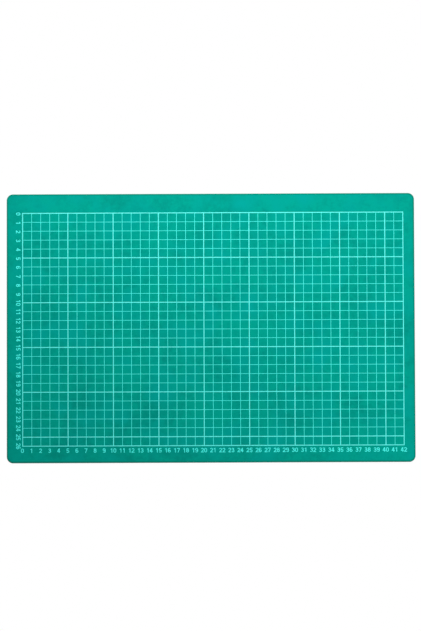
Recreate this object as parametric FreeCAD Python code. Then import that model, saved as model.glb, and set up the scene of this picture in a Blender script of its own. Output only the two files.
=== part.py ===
import FreeCAD, Part
import os

# A laminated cutting mat with a printed centimetre grid, in millimetres.
# X runs along the long side, Y towards the back edge and Z up. The origin is the middle of the underside.

# Laminated sheet
MAT_WIDTH = 450.0            # left edge to right edge
MAT_DEPTH = 300.0            # front edge to back edge
CORNER_RADIUS = 7.0          # corners of the die-cut outline
BOTTOM_LAYER = 1.0           # soft ply that lies on the table
CORE_LAYER = 1.0             # stiffer ply that stops the blade
TOP_LAYER = 1.0              # soft ply that heals after a cut
EDGE_ROUND = 0.5             # rounding that the die draws into the upper edge as it enters
EDGE_ROUND_OF_PLY = 0.8      # the rounding takes at most this share of the ply that carries it

# Printed grid
SQUARE = 10.0                # line centre to line centre
SQUARES_TO_HEAVY_LINE = 5    # every fifth line is heavy
LEFT_MARGIN = 17.5           # left edge to the centre of the border's left side
BACK_MARGIN = 21.4           # back edge to the centre of the border's back side
LEAST_RIGHT_MARGIN = 12.0    # the grid has as many whole squares as leave this much at the right
LEAST_FRONT_MARGIN = 18.0    # and this much at the front, where the numbers stand
BORDER_LINE = 0.9            # width of the border line
HEAVY_LINE = 0.9             # width of every fifth line
FINE_LINE = 0.5              # width of the lines between
INK_FILM = 0.05              # thickness of the printed ink

# Heights of the faces where the plies and the ink meet
CORE_BASE = BOTTOM_LAYER
TOP_BASE = CORE_BASE + CORE_LAYER
INK_BASE = TOP_BASE + TOP_LAYER

# Grid counts, and line centres from left to right and from back to front
COLUMNS = int((MAT_WIDTH - LEFT_MARGIN - LEAST_RIGHT_MARGIN) // SQUARE)
ROWS = int((MAT_DEPTH - BACK_MARGIN - LEAST_FRONT_MARGIN) // SQUARE)
COLUMN_X = [-MAT_WIDTH / 2 + LEFT_MARGIN + SQUARE * column for column in range(COLUMNS + 1)]
ROW_Y = [MAT_DEPTH / 2 - BACK_MARGIN - SQUARE * row for row in range(ROWS + 1)]


def mat_outline(height):
    """The die-cut outline as a flat face: straight sides joined by quarter-circle corners."""
    half_x = MAT_WIDTH / 2
    half_y = MAT_DEPTH / 2
    bend_x = half_x - CORNER_RADIUS
    bend_y = half_y - CORNER_RADIUS
    up = FreeCAD.Vector(0, 0, 1)

    def point(x, y):
        return FreeCAD.Vector(x, y, height)

    def corner(x, y, start_angle):
        return Part.makeCircle(CORNER_RADIUS, point(x, y), up, start_angle, start_angle + 90)

    return Part.Face(Part.Wire([
        Part.makeLine(point(half_x, -bend_y), point(half_x, bend_y)),
        corner(bend_x, bend_y, 0),
        Part.makeLine(point(bend_x, half_y), point(-bend_x, half_y)),
        corner(-bend_x, bend_y, 90),
        Part.makeLine(point(-half_x, bend_y), point(-half_x, -bend_y)),
        corner(-bend_x, -bend_y, 180),
        Part.makeLine(point(-bend_x, -half_y), point(bend_x, -half_y)),
        corner(bend_x, -bend_y, 270),
    ]))


def ply(base, thickness):
    """One ply of the sheet, cut square through."""
    return mat_outline(base).extrude(FreeCAD.Vector(0, 0, thickness))


def rounded_ply(base, thickness):
    """The ply that the die enters first, with its upper edge drawn round."""
    slab = ply(base, thickness)
    upper_face = max(slab.Faces, key=lambda face: face.CenterOfMass.z)
    return slab.makeFillet(min(EDGE_ROUND, EDGE_ROUND_OF_PLY * thickness), upper_face.Edges)


def printed_strip(left, right, front, back):
    """A rectangle of ink on the upper face."""
    rectangle = Part.makePlane(right - left, back - front, FreeCAD.Vector(left, front, INK_BASE))
    return rectangle.extrude(FreeCAD.Vector(0, 0, INK_FILM))


def border_frame(grow):
    """The border's rectangle on its line centres, each side moved outwards by grow."""
    return printed_strip(COLUMN_X[0] - grow, COLUMN_X[-1] + grow, ROW_Y[-1] - grow, ROW_Y[0] + grow)


def is_heavy(line):
    return line % SQUARES_TO_HEAVY_LINE == 0


def line_width(line, last):
    """Width of the line with this number, on a scale whose first and last lines are the border's."""
    if line in (0, last):
        return BORDER_LINE
    return HEAVY_LINE if is_heavy(line) else FINE_LINE


def bare_stretches(centres, lines):
    """The stretches left bare between neighbours of the numbered lines, each as its two ends."""
    last = len(centres) - 1
    ends = []
    for one, other in zip(lines, lines[1:]):
        low, high = sorted((one, other), key=lambda line: centres[line])
        ends.append((
            centres[low] + line_width(low, last) / 2,
            centres[high] - line_width(high, last) / 2,
        ))
    return ends


heavy_columns = [line for line in range(1, COLUMNS) if is_heavy(line)]
heavy_rows = [line for line in range(1, ROWS) if is_heavy(line)]
fine_columns = [line for line in range(1, COLUMNS) if not is_heavy(line)]
fine_rows = [line for line in range(1, ROWS) if not is_heavy(line)]


def lines_down(columns, crossing_rows):
    """Lines from back to front, broken where the border and the crossing rows are printed."""
    stretches = bare_stretches(ROW_Y, [0] + crossing_rows + [ROWS])
    strips = []
    for line in columns:
        half = line_width(line, COLUMNS) / 2
        for front, back in stretches:
            strips.append(printed_strip(COLUMN_X[line] - half, COLUMN_X[line] + half, front, back))
    return Part.makeCompound(strips)


def lines_across(rows, crossing_columns):
    """Lines from left to right, broken where the border and the crossing columns are printed."""
    stretches = bare_stretches(COLUMN_X, [0] + crossing_columns + [COLUMNS])
    strips = []
    for line in rows:
        half = line_width(line, ROWS) / 2
        for left, right in stretches:
            strips.append(printed_strip(left, right, ROW_Y[line] - half, ROW_Y[line] + half))
    return Part.makeCompound(strips)


pieces = {
    "bottom_layer": ply(0, BOTTOM_LAYER),
    "core_layer": ply(CORE_BASE, CORE_LAYER),
    "top_cutting_layer": rounded_ply(TOP_BASE, TOP_LAYER),
    "border_line": border_frame(BORDER_LINE / 2).cut(border_frame(-BORDER_LINE / 2)),
    "heavy_lines_down": lines_down(heavy_columns, crossing_rows=[]),
    "heavy_lines_across": lines_across(heavy_rows, crossing_columns=heavy_columns),
    "fine_lines_down": lines_down(fine_columns, crossing_rows=heavy_rows),
    "fine_lines_across": lines_across(fine_rows, crossing_columns=sorted(heavy_columns + fine_columns)),
}

os.makedirs("parts", exist_ok=True)
for name, shape in pieces.items():
    shape.exportStep(f"parts/{name}.step")
    print(name, "solids", len(shape.Solids), "volume %.3f cm3" % (shape.Volume / 1000))
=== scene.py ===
from collections import namedtuple
from math import asin, atan2, copysign, cos, degrees, hypot, radians, sin

import bmesh
import bpy
from bpy.props import FloatProperty, FloatVectorProperty, PointerProperty
from mathutils import Euler, Matrix, Vector
from mathutils.geometry import delaunay_2d_cdt


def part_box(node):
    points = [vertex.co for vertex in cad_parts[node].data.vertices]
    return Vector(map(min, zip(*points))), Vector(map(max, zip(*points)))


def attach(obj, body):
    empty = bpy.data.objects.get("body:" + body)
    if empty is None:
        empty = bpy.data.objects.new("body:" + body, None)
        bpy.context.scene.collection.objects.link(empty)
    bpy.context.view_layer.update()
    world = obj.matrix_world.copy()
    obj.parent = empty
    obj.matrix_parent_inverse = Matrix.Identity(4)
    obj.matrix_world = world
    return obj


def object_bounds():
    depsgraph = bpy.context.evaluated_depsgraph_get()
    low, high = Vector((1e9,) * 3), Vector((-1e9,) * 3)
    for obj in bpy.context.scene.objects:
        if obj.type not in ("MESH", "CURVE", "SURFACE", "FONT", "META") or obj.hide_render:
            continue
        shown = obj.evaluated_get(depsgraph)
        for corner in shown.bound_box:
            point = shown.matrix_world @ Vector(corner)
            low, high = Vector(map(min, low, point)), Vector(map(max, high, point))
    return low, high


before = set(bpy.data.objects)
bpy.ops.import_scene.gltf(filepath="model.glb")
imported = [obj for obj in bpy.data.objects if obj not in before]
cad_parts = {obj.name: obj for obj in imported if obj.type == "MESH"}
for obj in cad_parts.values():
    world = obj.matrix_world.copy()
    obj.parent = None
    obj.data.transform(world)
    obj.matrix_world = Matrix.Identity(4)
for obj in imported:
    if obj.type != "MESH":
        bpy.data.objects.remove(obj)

bl_info = {
    "name": "Cutting mat",
    "version": (1, 0, 0),
    "blender": (4, 5, 0),
    "location": "3D View > Sidebar > Cutting mat",
    "description": "Finishes of a laminated cutting mat, its printed numbers and a studio to see it in",
    "category": "Object",
}

MM = 0.001
FINE_INK = "fine_screen_print_ink"
WHITE = (1.0, 1.0, 1.0, 1.0)

# Patterns of the PVC
CLOUDS_FROM = (-10.595, 11.05, 0.0)   # where its clouds are taken from, in a pattern that has no end
DRIFT_FROM = (0.31, 0.17, 0.0)        # and where its blue drift is
GRAIN_DRAWN = 3                       # the grain, finer than a pixel, is drawn this many times as wide

# Colour sockets of a mix node, which share their names with its other sockets
MIX_FIRST = 6
MIX_SECOND = 7
MIX_RESULT = 2

# Surroundings, by the height of a direction: 1 is straight up
HORIZON = 0.02         # half the band in which the light from above turns to the light from below
MIRRORED_WHITE = 0.1   # up to here the surroundings are mirrored white
MIRRORED_FILL = 0.5    # from here on they are mirrored no brighter than their fill

# Boxes read from the frame
CAD_LOW, CAD_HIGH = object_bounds()
BORDER_LOW, BORDER_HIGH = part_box("border_line")
_, RULED_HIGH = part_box("heavy_lines_down")   # these lines end at the border's inner side
ON_SIDE = 0.01 * MM                          # a corner nearer than this to a box's side is on it

# Height and thickness of the printed film, and the border's line centres, which start and end the scales
INK_TOP = BORDER_HIGH.z
INK_FILM = BORDER_HIGH.z - BORDER_LOW.z
HALF_LINE = (BORDER_HIGH.y - RULED_HIGH.y) / 2
FIRST_COLUMN = BORDER_LOW.x + HALF_LINE
LAST_COLUMN = BORDER_HIGH.x - HALF_LINE
FIRST_ROW = BORDER_HIGH.y - HALF_LINE
LAST_ROW = BORDER_LOW.y + HALF_LINE

# Figures of the printed numbers, in parts of their height from the middle of their foot
PEN = 0.17                       # width of a stroke
FOOT = PEN / 2                   # height of the lowest stroke
TOP = 1 - PEN / 2                # height of the highest stroke
BOWL = 0.225                     # radius of a bowl
WAIST = FOOT + 2 * BOWL          # height of the stroke between two bowls
SMALL_BOWL = (TOP - WAIST) / 2   # radius of the bowl above it
HALF_WIDTH = BOWL + PEN / 2      # middle to side of a wide figure
LOW = FOOT + BOWL                # height of the middle of a bowl that stands on the foot
HIGH = TOP - BOWL                # of one that hangs from the top
UPPER = TOP - SMALL_BOWL         # and of the smaller one
CROSSBAR = 0.29                  # height of the four's crossbar
BOWL_SIDES = 16                  # straight pieces of a whole bowl
MIDDLE = 0.5                     # height of the middle of a figure
SAME_POINT = 0.001               # corners nearer than this are one
WHOLE_FACES = 4                  # joined strokes are cut into few faces, not all into triangles

# Slope of the two's diagonal, which runs from the foot's left end straight into the bowl
SLOPE = atan2(HIGH - FOOT, BOWL) - asin(BOWL / hypot(HIGH - FOOT, BOWL))

# Strokes of each figure: bowls about its middle line, from angle to angle, and bars from point to point
Bowl = namedtuple("Bowl", "height radius start end")
Bar = namedtuple("Bar", "start end")
LEFT_SIDE = Bar((-BOWL, LOW), (-BOWL, HIGH))
RIGHT_SIDE = Bar((BOWL, LOW), (BOWL, HIGH))
STROKES = {
    "0": (Bowl(LOW, BOWL, 180, 360), Bowl(HIGH, BOWL, 0, 180), LEFT_SIDE, RIGHT_SIDE),
    "1": (Bar((0.06, 0.0), (0.06, 1.0)), Bar((0.05, TOP), (-0.19, 0.74))),
    "2": (
        Bowl(HIGH, BOWL, degrees(SLOPE) - 90, 170),
        Bar((BOWL * sin(SLOPE), HIGH - BOWL * cos(SLOPE)), (-BOWL, FOOT)),
        Bar((-HALF_WIDTH, FOOT), (HALF_WIDTH, FOOT)),
    ),
    "3": (
        Bowl(UPPER, SMALL_BOWL, -90, 165),
        Bowl(LOW, BOWL, -165, 90),
        Bar((-0.1, WAIST), (0.0, WAIST)),
    ),
    "4": (
        Bar((0.11, 0.0), (0.11, 1.0)),
        Bar((-HALF_WIDTH, CROSSBAR), (HALF_WIDTH, CROSSBAR)),
        Bar((0.07, 0.96), (-0.24, 0.32)),
    ),
    "5": (
        Bowl(LOW, BOWL, -160, 140),
        Bar((-0.2, 0.45), (-0.17, TOP)),
        Bar((-0.2, TOP), (0.27, TOP)),
    ),
    "6": (Bowl(LOW, BOWL, 0, 360), Bowl(HIGH, BOWL, 30, 180), LEFT_SIDE),
    "7": (Bar((-HALF_WIDTH, TOP), (HALF_WIDTH, TOP)), Bar((0.22, TOP), (-0.1, -0.03))),
    "8": (Bowl(LOW, BOWL, 0, 360), Bowl(UPPER, SMALL_BOWL, 0, 360)),
    "9": (Bowl(HIGH, BOWL, 0, 360), Bowl(LOW, BOWL, -150, 0), RIGHT_SIDE),
}


# Settings

def linear(hex_colour):
    """A colour written as sRGB hex, as the linear colour that a shader takes."""
    channels = [int(hex_colour[start:start + 2], 16) / 255 for start in (1, 3, 5)]
    light = [c / 12.92 if c <= 0.04045 else ((c + 0.055) / 1.055) ** 2.4 for c in channels]
    return (*light, 1.0)


def colour_setting(name, description, hex_colour):
    return FloatVectorProperty(
        name=name, description=description, subtype="COLOR",
        size=4, min=0, max=1, default=linear(hex_colour),
    )


def length_setting(name, description, metres):
    return FloatProperty(name=name, description=description, unit="LENGTH", precision=5, default=metres)


def place_setting(name, description, metres):
    return FloatVectorProperty(
        name=name, description=description, subtype="TRANSLATION", unit="LENGTH",
        precision=5, default=metres,
    )


def angle_setting(name, description, in_degrees):
    return FloatProperty(name=name, description=description, subtype="ANGLE", default=radians(in_degrees))


def share_setting(name, description, share):
    return FloatProperty(name=name, description=description, subtype="FACTOR", default=share)


def power_setting(name, description, watts):
    return FloatProperty(name=name, description=description, unit="POWER", default=watts)


class MatFinishes(bpy.types.PropertyGroup):
    """Colours of the plies and the ink, and the sizes of what varies in them."""
    face: colour_setting("Face", "The cutting face's green", "#029D8A")
    face_deep: colour_setting("Deep clouds", "Where the calender left more pigment", "#028D7F")
    face_blue: colour_setting("Blue clouds", "Where the pigment leans to blue", "#029D92")
    # Painted shade: a darker strip round the face's edge stands in for the shading of its rounded edge.
    # The core's streaks take this colour too
    rim: colour_setting("Rim", "Where the die drew the edge down", "#048270")
    gloss: colour_setting("Gloss", "Tint of what the PVC mirrors from straight above", "#00FFE7")
    underside: colour_setting("Underside", "The ply that lies on the table", "#028474")
    underside_deep: colour_setting("Underside clouds", "Where it has more pigment", "#027868")
    underside_blue: colour_setting("Underside blue", "Where its pigment leans to blue", "#02847B")
    # Painted shade: the core ply's dark green is the colour of the mat's edge in shade
    core: colour_setting("Core", "The stiffer ply in the middle", "#0A6A5E")
    ink: colour_setting("Ink", "The border and the heavy lines", "#62FCF4")
    ink_thin: colour_setting("Thin ink", "Where the green shows through them", "#50ECE2")
    fine_ink: colour_setting("Fine ink", "The thinner film of the fine lines and numbers", "#48FCF1")
    fine_ink_thin: colour_setting("Thin fine ink", "Where the green shows through them", "#38ECDE")
    cloud: length_setting("Cloud", "Width of a cloud in the pigment", 45 * MM)
    drift: length_setting("Drift", "Width of a patch where the pigment leans to blue", 30 * MM)
    fleck: length_setting("Fleck", "Width of a fleck that the calender left", 6 * MM)
    fleck_depth: share_setting("Fleck depth", "What a fleck adds to the clouds or takes from them", 0.5)
    grain: length_setting("Grain", "Width of a grain of the matt face", 0.35 * MM)
    streak: length_setting("Streak", "Width of a streak that the die left in the core", 1.5 * MM)
    # Width of the painted edge shade
    rim_width: length_setting("Rim width", "How far the darker edge reaches in", 2.2 * MM)
    ink_patch: length_setting("Ink patch", "Width of a patch of thinner ink", 3.5 * MM)


class MatNumbers(bpy.types.PropertyGroup):
    """Sizes of the two printed scales."""
    square: length_setting("Square", "From one numbered line to the next", 10 * MM)
    figure_height: length_setting("Figure height", "Foot to top of a figure", 4.9 * MM)
    figure_width: length_setting("Figure width", "Side to side of a wide figure", 3.2 * MM)
    figure_step: length_setting("Figure step", "From the middle of a figure to the next", 3.55 * MM)
    front_drop: length_setting("Front scale", "Border line to the middle of the figures", 5.1 * MM)
    front_shift: length_setting("Front shift", "How far left of their lines its numbers sit", 0.33 * MM)
    left_drop: length_setting("Left scale", "Border line to the middle of the figures", 4.8 * MM)
    single_shift: length_setting("Single figures", "How far past its line a lone figure sits", 0.6 * MM)


class MatStudio(bpy.types.PropertyGroup):
    """Camera, lamps, floor and surroundings."""
    lens: FloatProperty(name="Lens", description="Focal length", unit="CAMERA", default=600)
    aim: place_setting("Aim", "Point in the middle of the picture", (-0.245 * MM, 13.613 * MM, 3 * MM))
    distance: length_setting("Distance", "Camera to the aim", 11.601)
    tilt: angle_setting("Tilt", "How far the camera stands to the front of straight above", 9.129)
    lean: angle_setting("Lean", "How far it stands to the right of straight above", 0.086)
    roll: angle_setting("Roll", "How far it is turned about its line of sight", -0.215)
    back_lamp: place_setting("Back lamp", "Middle of the larger light", (-0.05, 0.68, 0.50))
    back_power: power_setting("Back power", "Power of the larger light", 9.5)
    side_lamp: place_setting("Side lamp", "Middle of the smaller light", (0.57, -0.28, 0.50))
    side_power: power_setting("Side power", "Power of the smaller light", 3.12)
    lamp_size: length_setting("Lamp size", "Side of each square light", 0.6)
    fill: share_setting("Fill", "Even light from above", 0.08)
    below: share_setting("Below", "Even light from below the floor", 0.8)
    floor: colour_setting("Floor", "Matt white paper", "#EEEEEE")
    floor_size: length_setting("Floor size", "Side of the square floor", 6.0)
    floor_gap: length_setting("Floor gap", "Floor to underside", 0.1 * MM)
    floor_lap: length_setting("Floor lap", "How far the floor reaches in under the mat", 8 * MM)
    floor_glow: share_setting("Floor glow", "What the eye sees of the floor beyond its lamp light", 0.78)
    lit_reach: length_setting("Lit reach", "Mat's middle to where the lamps' light fades", 0.35)
    glow_reach: length_setting("Glow reach", "Mat's middle to where the floor's glow alone is white", 0.9)


# Finishes

def add_node(tree, kind, inputs=None, **settings):
    """Adds a node with its settings and inputs. An input is a value or a socket that feeds it."""
    node = tree.nodes.new(kind)
    for name, value in settings.items():
        setattr(node, name, value)
    for name, value in (inputs or {}).items():
        if isinstance(value, bpy.types.NodeSocket):
            tree.links.new(value, node.inputs[name])
        else:
            node.inputs[name].default_value = value
    return node


def new_material(name):
    """An empty material and its node tree."""
    material = bpy.data.materials.new(name)
    material.use_nodes = True
    material.node_tree.nodes.clear()
    return material, material.node_tree


def per_metre(width):
    """The scale of a noise whose features are about this wide."""
    return 1 / width


def soft_pvc(name, finishes, green, deep_green, blue_green, rim=None):
    """Soft PVC sheet from a calender: matt, with a fine grain, and flecks and slow clouds in the pigment.

    An edge shade colour darkens the outermost strip all round. This is painted shade: a dark outline in
    place of the shading of the rounded edge.
    """
    material, tree = new_material(name)
    place = add_node(tree, "ShaderNodeTexCoord").outputs["Object"]
    clouds = add_node(tree, "ShaderNodeMapping", {"Vector": place, "Location": CLOUDS_FROM})
    drift = add_node(tree, "ShaderNodeMapping", {"Vector": place, "Location": DRIFT_FROM})
    deep = add_node(tree, "ShaderNodeTexNoise", {
        "Vector": clouds.outputs["Vector"], "Scale": per_metre(finishes.cloud),
        "Detail": 3.0, "Roughness": 0.6,
    })
    blue = add_node(tree, "ShaderNodeTexNoise", {
        "Vector": drift.outputs["Vector"], "Scale": per_metre(finishes.drift), "Detail": 2.0,
    })
    flecks = add_node(tree, "ShaderNodeTexNoise", {
        "Vector": place, "Scale": per_metre(finishes.fleck), "Detail": 2.0, "Roughness": 0.8,
    })
    fleck = add_node(tree, "ShaderNodeMapRange", {
        "Value": flecks.outputs["Fac"], "To Min": -finishes.fleck_depth, "To Max": finishes.fleck_depth,
    })
    pigment = add_node(tree, "ShaderNodeMath", {
        0: deep.outputs["Fac"], 1: fleck.outputs["Result"],
    }, operation="ADD")
    deep_share = add_node(tree, "ShaderNodeMapRange", {
        "Value": pigment.outputs["Value"], "From Min": 0.35, "From Max": 0.75,
    })
    blue_share = add_node(tree, "ShaderNodeMapRange", {
        "Value": blue.outputs["Fac"], "From Min": 0.45, "From Max": 0.75,
    })
    clouded = add_node(tree, "ShaderNodeMix", {
        "Factor": deep_share.outputs["Result"], MIX_FIRST: green, MIX_SECOND: deep_green,
    }, data_type="RGBA")
    colour = add_node(tree, "ShaderNodeMix", {
        "Factor": blue_share.outputs["Result"],
        MIX_FIRST: clouded.outputs[MIX_RESULT], MIX_SECOND: blue_green,
    }, data_type="RGBA").outputs[MIX_RESULT]
    # Painted shade: the outermost strip of the face turns darker
    if rim is not None:
        colour = rim_colour(tree, place, colour, rim, finishes.rim_width)
    grain = add_node(tree, "ShaderNodeTexNoise", {
        "Vector": place, "Scale": per_metre(GRAIN_DRAWN * finishes.grain), "Detail": 2.0,
    })
    bump = add_node(tree, "ShaderNodeBump", {
        "Height": grain.outputs["Fac"], "Strength": 0.15, "Distance": 0.1 * MM,
    })
    roughness = add_node(tree, "ShaderNodeMapRange", {
        "Value": deep.outputs["Fac"], "To Min": 0.46, "To Max": 0.60,
    })
    pvc = add_node(tree, "ShaderNodeBsdfPrincipled", {
        "Base Color": colour, "Roughness": roughness.outputs["Result"],
        "Normal": bump.outputs["Normal"],
        "IOR": 1.53, "Specular IOR Level": 0.12, "Specular Tint": finishes.gloss,
    })
    add_node(tree, "ShaderNodeOutputMaterial", {"Surface": pvc.outputs["BSDF"]})
    return material


def rim_colour(tree, place, colour, rim, width):
    """Painted shade near the edge: turns to the edge shade colour there, with corners that are arcs about
    the bends.
    """
    radius = corner_radius()
    bend = (CAD_HIGH.x - radius, CAD_HIGH.y - radius, CAD_HIGH.z)
    side = add_node(tree, "ShaderNodeVectorMath", {0: place}, operation="ABSOLUTE")
    past = add_node(tree, "ShaderNodeVectorMath", {
        0: side.outputs["Vector"], 1: bend,
    }, operation="SUBTRACT")
    outside = add_node(tree, "ShaderNodeVectorMath", {
        0: past.outputs["Vector"], 1: (0.0, 0.0, 0.0),
    }, operation="MAXIMUM")
    reach = add_node(tree, "ShaderNodeVectorMath", {0: outside.outputs["Vector"]}, operation="LENGTH")
    share = add_node(tree, "ShaderNodeMapRange", {
        "Value": reach.outputs["Value"], "From Min": radius - width, "From Max": radius - width / 2,
    })
    return add_node(tree, "ShaderNodeMix", {
        "Factor": share.outputs["Result"], MIX_FIRST: colour, MIX_SECOND: rim,
    }, data_type="RGBA").outputs[MIX_RESULT]


def corner_radius():
    """Radius of the mat's corners, from where the straight front edge of the bottom ply ends."""
    corners = [v.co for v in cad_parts["bottom_layer"].data.vertices]
    front = [co.x for co in corners if co.y - CAD_LOW.y < ON_SIDE]
    return CAD_HIGH.x - max(front)


def core_pvc(name, finishes):
    """Filled PVC of the stiffer ply: dull, and a little streaked by the die at the edge that shows. Its
    colour is painted shade, the dark green of the mat's edge in shade, and its streaks take the face's
    painted edge shade.
    """
    material, tree = new_material(name)
    place = add_node(tree, "ShaderNodeTexCoord").outputs["Object"]
    streaks = add_node(tree, "ShaderNodeTexNoise", {
        "Vector": place, "Scale": per_metre(finishes.streak), "Detail": 2.0,
    })
    colour = add_node(tree, "ShaderNodeMix", {
        "Factor": streaks.outputs["Fac"], MIX_FIRST: finishes.core, MIX_SECOND: finishes.rim,
    }, data_type="RGBA")
    pvc = add_node(tree, "ShaderNodeBsdfPrincipled", {
        "Base Color": colour.outputs[MIX_RESULT], "Roughness": 0.65,
        "IOR": 1.53, "Specular IOR Level": 0.12,
    })
    add_node(tree, "ShaderNodeOutputMaterial", {"Surface": pvc.outputs["BSDF"]})
    return material


def screen_print_ink(name, full, thin, patch):
    """Screen-printed ink: a thin pale satin film that covers unevenly, so some green shows through."""
    material, tree = new_material(name)
    place = add_node(tree, "ShaderNodeTexCoord").outputs["Object"]
    cover = add_node(tree, "ShaderNodeTexNoise", {
        "Vector": place, "Scale": per_metre(patch), "Detail": 3.0, "Roughness": 0.6,
    })
    bare = add_node(tree, "ShaderNodeMapRange", {
        "Value": cover.outputs["Fac"], "From Min": 0.45, "From Max": 0.8,
    })
    colour = add_node(tree, "ShaderNodeMix", {
        "Factor": bare.outputs["Result"], MIX_FIRST: full, MIX_SECOND: thin,
    }, data_type="RGBA")
    ink = add_node(tree, "ShaderNodeBsdfPrincipled", {
        "Base Color": colour.outputs[MIX_RESULT], "Roughness": 0.45, "Specular IOR Level": 0.2,
    })
    add_node(tree, "ShaderNodeOutputMaterial", {"Surface": ink.outputs["BSDF"]})
    return material


def dress(node, material):
    """Gives a node of the frame its finish."""
    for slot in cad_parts[node].material_slots:
        slot.material = material


# Printed numbers

def draw_bowl(shape, bowl):
    """A round stroke: an edge as long as the pen is wide, spun about the middle of the bowl."""
    middle = Vector((0.0, bowl.height, 0.0))
    turn = Matrix.Rotation(radians(bowl.start), 3, "Z")
    sides = (bowl.radius - PEN / 2, bowl.radius + PEN / 2)
    ends = [shape.verts.new(middle + turn @ Vector((side, 0.0, 0.0))) for side in sides]
    sweep = bowl.end - bowl.start
    bmesh.ops.spin(
        shape, geom=[*ends, shape.edges.new(ends)],
        cent=middle, axis=(0.0, 0.0, 1.0), dvec=(0.0, 0.0, 0.0), angle=radians(sweep),
        steps=round(BOWL_SIDES * sweep / 360), use_merge=sweep == 360,
    )


def draw_bar(shape, bar):
    """A straight stroke: an edge as long as the pen is wide, drawn along."""
    start, end = (Vector((*point, 0.0)) for point in bar)
    across = Vector((0.0, 0.0, PEN / 2)).cross((end - start).normalized())
    edge = shape.edges.new([shape.verts.new(start - across), shape.verts.new(start + across)])
    drawn = bmesh.ops.extrude_edge_only(shape, edges=[edge])["geom"]
    ahead = [part for part in drawn if isinstance(part, bmesh.types.BMVert)]
    bmesh.ops.translate(shape, verts=ahead, vec=end - start)


def figure_mesh(figure):
    """A figure as a flat mesh, one unit tall and centred: the area that its strokes cover."""
    shape = bmesh.new()
    for stroke in STROKES[figure]:
        if isinstance(stroke, Bowl):
            draw_bowl(shape, stroke)
        else:
            draw_bar(shape, stroke)
    # A slanted bar that runs past the foot is cut off level with it
    bmesh.ops.bisect_plane(
        shape, geom=[*shape.verts, *shape.edges, *shape.faces],
        plane_co=(0.0, 0.0, 0.0), plane_no=(0.0, -1.0, 0.0), clear_outer=True,
    )
    bmesh.ops.translate(shape, verts=shape.verts, vec=(0.0, -MIDDLE, 0.0))
    bmesh.ops.remove_doubles(shape, verts=shape.verts, dist=SAME_POINT)
    shape.normal_update()
    bmesh.ops.reverse_faces(shape, faces=[face for face in shape.faces if face.normal.z < 0])
    # Strokes that overlap become one area, with no face on another
    shape.verts.index_update()
    strips = [[v.index for v in face.verts] for face in shape.faces]
    corners, _, faces, _, _, covered_by = delaunay_2d_cdt(
        [v.co.xy for v in shape.verts], [], strips, WHOLE_FACES, SAME_POINT
    )
    shape.free()
    mesh = bpy.data.meshes.new("figure_" + figure)
    inked = [face for face, strip in zip(faces, covered_by) if strip]
    mesh.from_pydata([(*corner, 0.0) for corner in corners], [], inked)
    return mesh


def printed_numbers(name, labels, numbers, ink):
    """Prints a scale. A label is a number and the matrix that carries its middle to its place."""
    figures = {figure: figure_mesh(figure) for figure in STROKES}
    shape = bmesh.new()
    size = Matrix.Diagonal((numbers.figure_width / (2 * HALF_WIDTH), numbers.figure_height, 1.0, 1.0))
    for number, place in labels:
        text = str(number)
        for order, figure in enumerate(text):
            along = (order - (len(text) - 1) / 2) * numbers.figure_step
            shape.from_mesh(figures[figure])
            shape.verts.ensure_lookup_table()
            added = shape.verts[-len(figures[figure].vertices):]
            bmesh.ops.transform(
                shape, verts=added, matrix=place @ Matrix.Translation((along, 0.0, 0.0)) @ size
            )
    bmesh.ops.solidify(shape, geom=shape.faces, thickness=INK_FILM)
    bmesh.ops.recalc_face_normals(shape, faces=shape.faces)
    mesh = bpy.data.meshes.new(name)
    shape.to_mesh(mesh)
    shape.free()
    for flat in figures.values():
        bpy.data.meshes.remove(flat)
    mesh.materials.append(ink)
    piece = bpy.data.objects.new(name, mesh)
    bpy.context.scene.collection.objects.link(piece)
    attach(piece, "root")


# Pieces

class DressPlies(bpy.types.Operator):
    """Gives the three pressed plies their PVC"""
    bl_idname = "cutting_mat.dress_plies"
    bl_label = "Plies"

    def execute(self, context):
        finishes = context.scene.mat_finishes
        dress("top_cutting_layer", soft_pvc(
            "soft_pvc_face", finishes,
            finishes.face, finishes.face_deep, finishes.face_blue, finishes.rim,
        ))
        dress("core_layer", core_pvc("filled_pvc_core", finishes))
        dress("bottom_layer", soft_pvc(
            "soft_pvc_underside", finishes,
            finishes.underside, finishes.underside_deep, finishes.underside_blue,
        ))
        return {"FINISHED"}


class DressGrid(bpy.types.Operator):
    """Gives the border and the ruled lines their ink"""
    bl_idname = "cutting_mat.dress_grid"
    bl_label = "Printed grid"

    def execute(self, context):
        finishes = context.scene.mat_finishes
        ink = screen_print_ink("screen_print_ink", finishes.ink, finishes.ink_thin, finishes.ink_patch)
        for node in ("border_line", "heavy_lines_down", "heavy_lines_across"):
            dress(node, ink)
        fine = screen_print_ink(FINE_INK, finishes.fine_ink, finishes.fine_ink_thin, finishes.ink_patch)
        for node in ("fine_lines_down", "fine_lines_across"):
            dress(node, fine)
        return {"FINISHED"}


class PrintFrontScale(bpy.types.Operator):
    """Prints a number under each line that runs from back to front"""
    bl_idname = "cutting_mat.print_front_scale"
    bl_label = "Front scale"

    def execute(self, context):
        numbers = context.scene.mat_numbers
        columns = round((LAST_COLUMN - FIRST_COLUMN) / numbers.square)
        x = FIRST_COLUMN - numbers.front_shift
        y = LAST_ROW - numbers.front_drop
        labels = [
            (number, Matrix.Translation((x + number * numbers.square, y, INK_TOP)))
            for number in range(columns + 1)
        ]
        printed_numbers("front_scale_numbers", labels, numbers, bpy.data.materials[FINE_INK])
        return {"FINISHED"}


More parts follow.
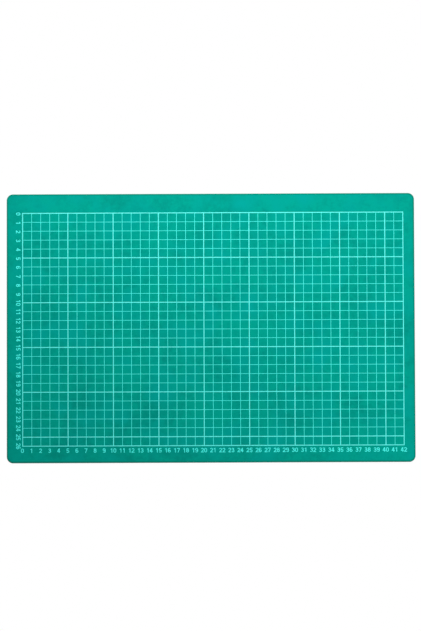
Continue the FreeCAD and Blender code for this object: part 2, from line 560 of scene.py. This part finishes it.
class PrintLeftScale(bpy.types.Operator):
    """Prints a number beside each line that runs across, turned to read towards the front"""
    bl_idname = "cutting_mat.print_left_scale"
    bl_label = "Left scale"

    def execute(self, context):
        numbers = context.scene.mat_numbers
        rows = round((FIRST_ROW - LAST_ROW) / numbers.square)
        x = FIRST_COLUMN - numbers.left_drop
        turned = Matrix.Rotation(radians(-90), 4, "Z")
        labels = []
        for number in range(rows + 1):
            shift = numbers.single_shift if len(str(number)) == 1 else 0.0
            y = FIRST_ROW - number * numbers.square - shift
            labels.append((number, Matrix.Translation((x, y, INK_TOP)) @ turned))
        printed_numbers("left_scale_numbers", labels, numbers, bpy.data.materials[FINE_INK])
        return {"FINISHED"}


# Stage

def white_paper(name, studio):
    """Matt white paper: the eye sees it white but for the mat's shadow, and from below it is clear."""
    material, tree = new_material(name)
    path = add_node(tree, "ShaderNodeLightPath").outputs
    mirrored = add_node(tree, "ShaderNodeMath", {
        0: path["Is Glossy Ray"], 1: path["Is Transmission Ray"],
    }, operation="MAXIMUM")
    seen = add_node(tree, "ShaderNodeMath", {
        0: path["Is Camera Ray"], 1: mirrored.outputs["Value"],
    }, operation="MAXIMUM")
    place = add_node(tree, "ShaderNodeTexCoord").outputs["Object"]
    away = add_node(tree, "ShaderNodeVectorMath", {0: place}, operation="LENGTH").outputs["Value"]
    whole = add_node(tree, "ShaderNodeMapRange", {
        "Value": away, "From Min": studio.lit_reach, "From Max": studio.glow_reach,
        "To Min": studio.floor_glow, "To Max": 1.0,
    }, interpolation_type="SMOOTHSTEP")
    glow = add_node(tree, "ShaderNodeMath", {
        0: seen.outputs["Value"], 1: whole.outputs["Result"],
    }, operation="MULTIPLY")
    paper = add_node(tree, "ShaderNodeBsdfPrincipled", {
        "Base Color": studio.floor, "Roughness": 1.0, "Specular IOR Level": 0.0,
        "Emission Color": WHITE, "Emission Strength": glow.outputs["Value"],
    })
    clear = add_node(tree, "ShaderNodeBsdfTransparent")
    side = add_node(tree, "ShaderNodeNewGeometry").outputs["Backfacing"]
    surface = add_node(tree, "ShaderNodeMixShader", {
        0: side, 1: paper.outputs["BSDF"], 2: clear.outputs["BSDF"],
    })
    add_node(tree, "ShaderNodeOutputMaterial", {"Surface": surface.outputs["Shader"]})
    return material


def white_room(name, studio):
    """Surroundings that look white, light the mat with an even fill and are mirrored white low down."""
    world = bpy.data.worlds.new(name)
    world.use_nodes = True
    tree = world.node_tree
    tree.nodes.clear()
    path = add_node(tree, "ShaderNodeLightPath").outputs
    direction = add_node(tree, "ShaderNodeTexCoord").outputs["Generated"]
    height = add_node(tree, "ShaderNodeSeparateXYZ", {0: direction}).outputs["Z"]
    even = add_node(tree, "ShaderNodeMapRange", {
        "Value": height, "From Min": -HORIZON, "From Max": HORIZON,
        "To Min": studio.below, "To Max": studio.fill,
    })
    low = add_node(tree, "ShaderNodeMapRange", {
        "Value": height, "From Min": MIRRORED_WHITE, "From Max": MIRRORED_FILL,
        "To Min": 1.0, "To Max": 0.0,
    })
    mirrored = add_node(tree, "ShaderNodeMath", {
        0: path["Is Glossy Ray"], 1: path["Is Transmission Ray"],
    }, operation="MAXIMUM")
    mirrored_low = add_node(tree, "ShaderNodeMath", {
        0: mirrored.outputs["Value"], 1: low.outputs["Result"],
    }, operation="MULTIPLY")
    seen = add_node(tree, "ShaderNodeMath", {
        0: path["Is Camera Ray"], 1: mirrored_low.outputs["Value"],
    }, operation="MAXIMUM")
    strength = add_node(tree, "ShaderNodeMath", {
        0: seen.outputs["Value"], 1: even.outputs["Result"],
    }, operation="MAXIMUM")
    light = add_node(tree, "ShaderNodeBackground", {
        "Color": WHITE, "Strength": strength.outputs["Value"],
    })
    add_node(tree, "ShaderNodeOutputWorld", {"Surface": light.outputs["Background"]})
    return world


class SetStage(bpy.types.Operator):
    """Sets up the floor, the lamps, the surroundings and the camera"""
    bl_idname = "cutting_mat.set_stage"
    bl_label = "Studio"

    def execute(self, context):
        scene = context.scene
        studio = scene.mat_studio
        self.lay_floor(scene, studio)
        self.hang_lamp(scene, studio, "back_lamp", studio.back_lamp, studio.back_power)
        self.hang_lamp(scene, studio, "side_lamp", studio.side_lamp, studio.side_power)
        scene.world = white_room("white_room", studio)
        self.set_camera(scene, studio)
        scene.view_settings.view_transform = "Standard"
        return {"FINISHED"}

    @staticmethod
    def lay_floor(scene, studio):
        """A wide sheet with an opening that the mat hides, which lets light reach the underside."""
        shape = bmesh.new()
        bmesh.ops.create_grid(shape, x_segments=1, y_segments=1, size=studio.floor_size / 2)
        opening = list(shape.faces)
        bmesh.ops.inset_region(shape, faces=opening, thickness=studio.floor_size / 4)
        for v in opening[0].verts:
            v.co.x = copysign(CAD_HIGH.x - studio.floor_lap, v.co.x)
            v.co.y = copysign(CAD_HIGH.y - studio.floor_lap, v.co.y)
        bmesh.ops.delete(shape, geom=opening, context="FACES_ONLY")
        bmesh.ops.translate(shape, verts=shape.verts, vec=(0.0, 0.0, CAD_LOW.z - studio.floor_gap))
        mesh = bpy.data.meshes.new("floor")
        shape.to_mesh(mesh)
        shape.free()
        mesh.materials.append(white_paper("white_paper", studio))
        floor = bpy.data.objects.new("floor", mesh)
        scene.collection.objects.link(floor)

    @staticmethod
    def hang_lamp(scene, studio, name, place, power):
        """A square light that points at the middle of the mat and isn't seen itself."""
        light = bpy.data.lights.new(name, "AREA")
        light.size = studio.lamp_size
        light.energy = power
        lamp = bpy.data.objects.new(name, light)
        lamp.location = place
        lamp.rotation_euler = (-Vector(place)).to_track_quat("-Z", "Y").to_euler()
        lamp.visible_camera = False
        scene.collection.objects.link(lamp)

    @staticmethod
    def set_camera(scene, studio):
        """A camera straight above the aim, turned about it by the tilt, the lean and the roll."""
        camera = bpy.data.objects.new("camera", bpy.data.cameras.new("camera"))
        camera.data.lens = studio.lens
        turn = Euler((studio.tilt, studio.lean, studio.roll), "ZYX").to_matrix().to_4x4()
        back = Matrix.Translation((0.0, 0.0, studio.distance))
        camera.matrix_world = Matrix.Translation(studio.aim) @ turn @ back
        scene.collection.objects.link(camera)
        scene.camera = camera


# Sidebar and registration

class MatPanel(bpy.types.Panel):
    """Lists the mat's pieces and their settings"""
    bl_idname = "VIEW3D_PT_cutting_mat"
    bl_label = "Cutting mat"
    bl_space_type = "VIEW_3D"
    bl_region_type = "UI"
    bl_category = "Cutting mat"

    def draw(self, context):
        for group, kind in SETTINGS.items():
            box = self.layout.box()
            for name in kind.__annotations__:
                box.prop(getattr(context.scene, group), name)
        for operator in OPERATORS:
            self.layout.operator(operator.bl_idname)


SETTINGS = {"mat_finishes": MatFinishes, "mat_numbers": MatNumbers, "mat_studio": MatStudio}
OPERATORS = (DressPlies, DressGrid, PrintFrontScale, PrintLeftScale, SetStage)


def register():
    for settings in SETTINGS.values():
        bpy.utils.register_class(settings)
    for name, settings in SETTINGS.items():
        setattr(bpy.types.Scene, name, PointerProperty(type=settings))
    for kind in (*OPERATORS, MatPanel):
        bpy.utils.register_class(kind)


def unregister():
    for kind in (MatPanel, *reversed(OPERATORS)):
        bpy.utils.unregister_class(kind)
    for name in SETTINGS:
        delattr(bpy.types.Scene, name)
    for settings in SETTINGS.values():
        bpy.utils.unregister_class(settings)


def main():
    register()
    bpy.ops.cutting_mat.dress_plies()
    bpy.ops.cutting_mat.dress_grid()
    bpy.ops.cutting_mat.print_front_scale()
    bpy.ops.cutting_mat.print_left_scale()
    bpy.ops.cutting_mat.set_stage()


if __name__ == "__main__":
    main()
